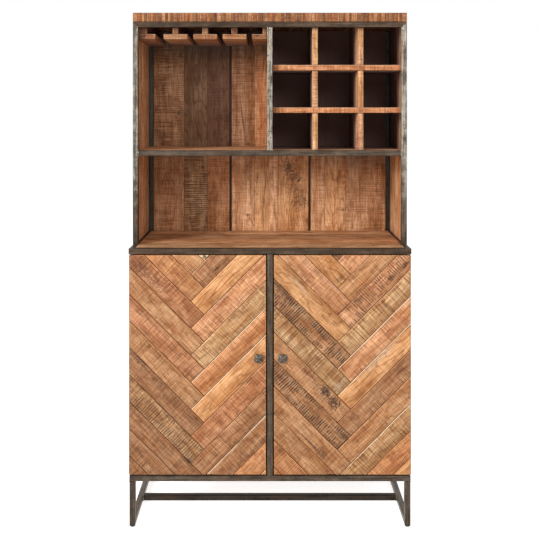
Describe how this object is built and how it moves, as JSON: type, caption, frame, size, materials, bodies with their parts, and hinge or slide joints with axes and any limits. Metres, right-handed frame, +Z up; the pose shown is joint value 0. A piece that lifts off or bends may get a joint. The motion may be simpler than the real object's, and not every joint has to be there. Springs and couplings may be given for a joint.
{
  "type": "bar cabinet",
  "caption": "Free-standing bar cabinet: herringbone-door cupboard on a steel frame, with a hutch for bottles, hanging glasses and serving above it.",
  "frame": {"origin": "on the floor, under the middle of the whole cabinet's box", "axes": "+X to the right as the doors are faced, +Y from the doors to the back, +Z up"},
  "size_m": [1, 0.412, 1.83],
  "materials": {
    "patinated_steel": "streaky dark bronze-grey patina under clear lacquer",
    "pivot_steel": "bright turned steel",
    "knob_iron": "forged, dark grey, lightly worn at the edges",
    "oiled_teak": "reclaimed teak, saw-marked, clear satin lacquer",
    "door_teak": "reclaimed teak planks in herringbone, saw-marked, clear satin lacquer",
    "pale_teak": "planed teak, clear satin lacquer",
    "black_plastic": "plain black"
  },
  "bodies": {
    "cabinet": {"left_runner": "patinated_steel", "left_front_leg": "patinated_steel", "left_rear_post": "patinated_steel", "left_base_rail": "patinated_steel", "left_counter_rail": "patinated_steel", "left_hutch_post": "patinated_steel", "left_hutch_rear_post": "patinated_steel", "left_cupboard_side": "oiled_teak", "left_hutch_side": "oiled_teak", "left_back_panel": "oiled_teak", "left_front_glide": "black_plastic", "left_rear_glide": "black_plastic", "right_runner": "patinated_steel", "right_front_leg": "patinated_steel", "right_rear_post": "patinated_steel", "right_base_rail": "patinated_steel", "right_counter_rail": "patinated_steel", "right_hutch_post": "patinated_steel", "right_hutch_rear_post": "patinated_steel", "right_cupboard_side": "oiled_teak", "right_hutch_side": "oiled_teak", "right_back_panel": "oiled_teak", "right_front_glide": "black_plastic", "right_rear_glide": "black_plastic", "front_base_rail": "patinated_steel", "rear_base_rail": "patinated_steel", "floor_stretcher": "patinated_steel", "door_mullion": "patinated_steel", "front_counter_rail": "patinated_steel", "rear_counter_rail": "patinated_steel", "front_hutch_top_rail": "patinated_steel", "rear_hutch_top_rail": "patinated_steel", "front_middle_rail": "patinated_steel", "hutch_centre_post": "patinated_steel", "counter_board": "oiled_teak", "cupboard_floor": "oiled_teak", "cupboard_back": "oiled_teak", "cupboard_shelf": "oiled_teak", "middle_back_panel": "oiled_teak", "middle_shelf": "oiled_teak", "hutch_partition": "oiled_teak", "top_board": "oiled_teak", "inner_rack_upright": "pale_teak", "outer_rack_upright": "pale_teak", "lower_rack_shelf": "pale_teak", "upper_rack_shelf": "pale_teak", "glass_rail_1": "pale_teak", "glass_rail_2": "pale_teak", "glass_rail_3": "pale_teak", "glass_rail_4": "pale_teak", "glass_rail_5": "pale_teak", "door_catch": "black_plastic"},
    "left_door": {"left_door": "door_teak", "left_knob": "knob_iron", "left_door_lower_pin": "pivot_steel", "left_door_upper_pin": "pivot_steel"},
    "right_door": {"right_door": "door_teak", "right_knob": "knob_iron", "right_door_lower_pin": "pivot_steel", "right_door_upper_pin": "pivot_steel"}
  },
  "joints": [
    {"name": "left_door_hinge", "type": "hinge", "parent": "cabinet", "child": "left_door", "pos_m": [-0.49, -0.18, 0.1855], "axis": [0, 0, -1], "range_deg": [0, 100]},
    {"name": "right_door_hinge", "type": "hinge", "parent": "cabinet", "child": "right_door", "pos_m": [0.49, -0.18, 0.1855], "axis": [0, 0, 1], "range_deg": [0, 100]}
  ]
}
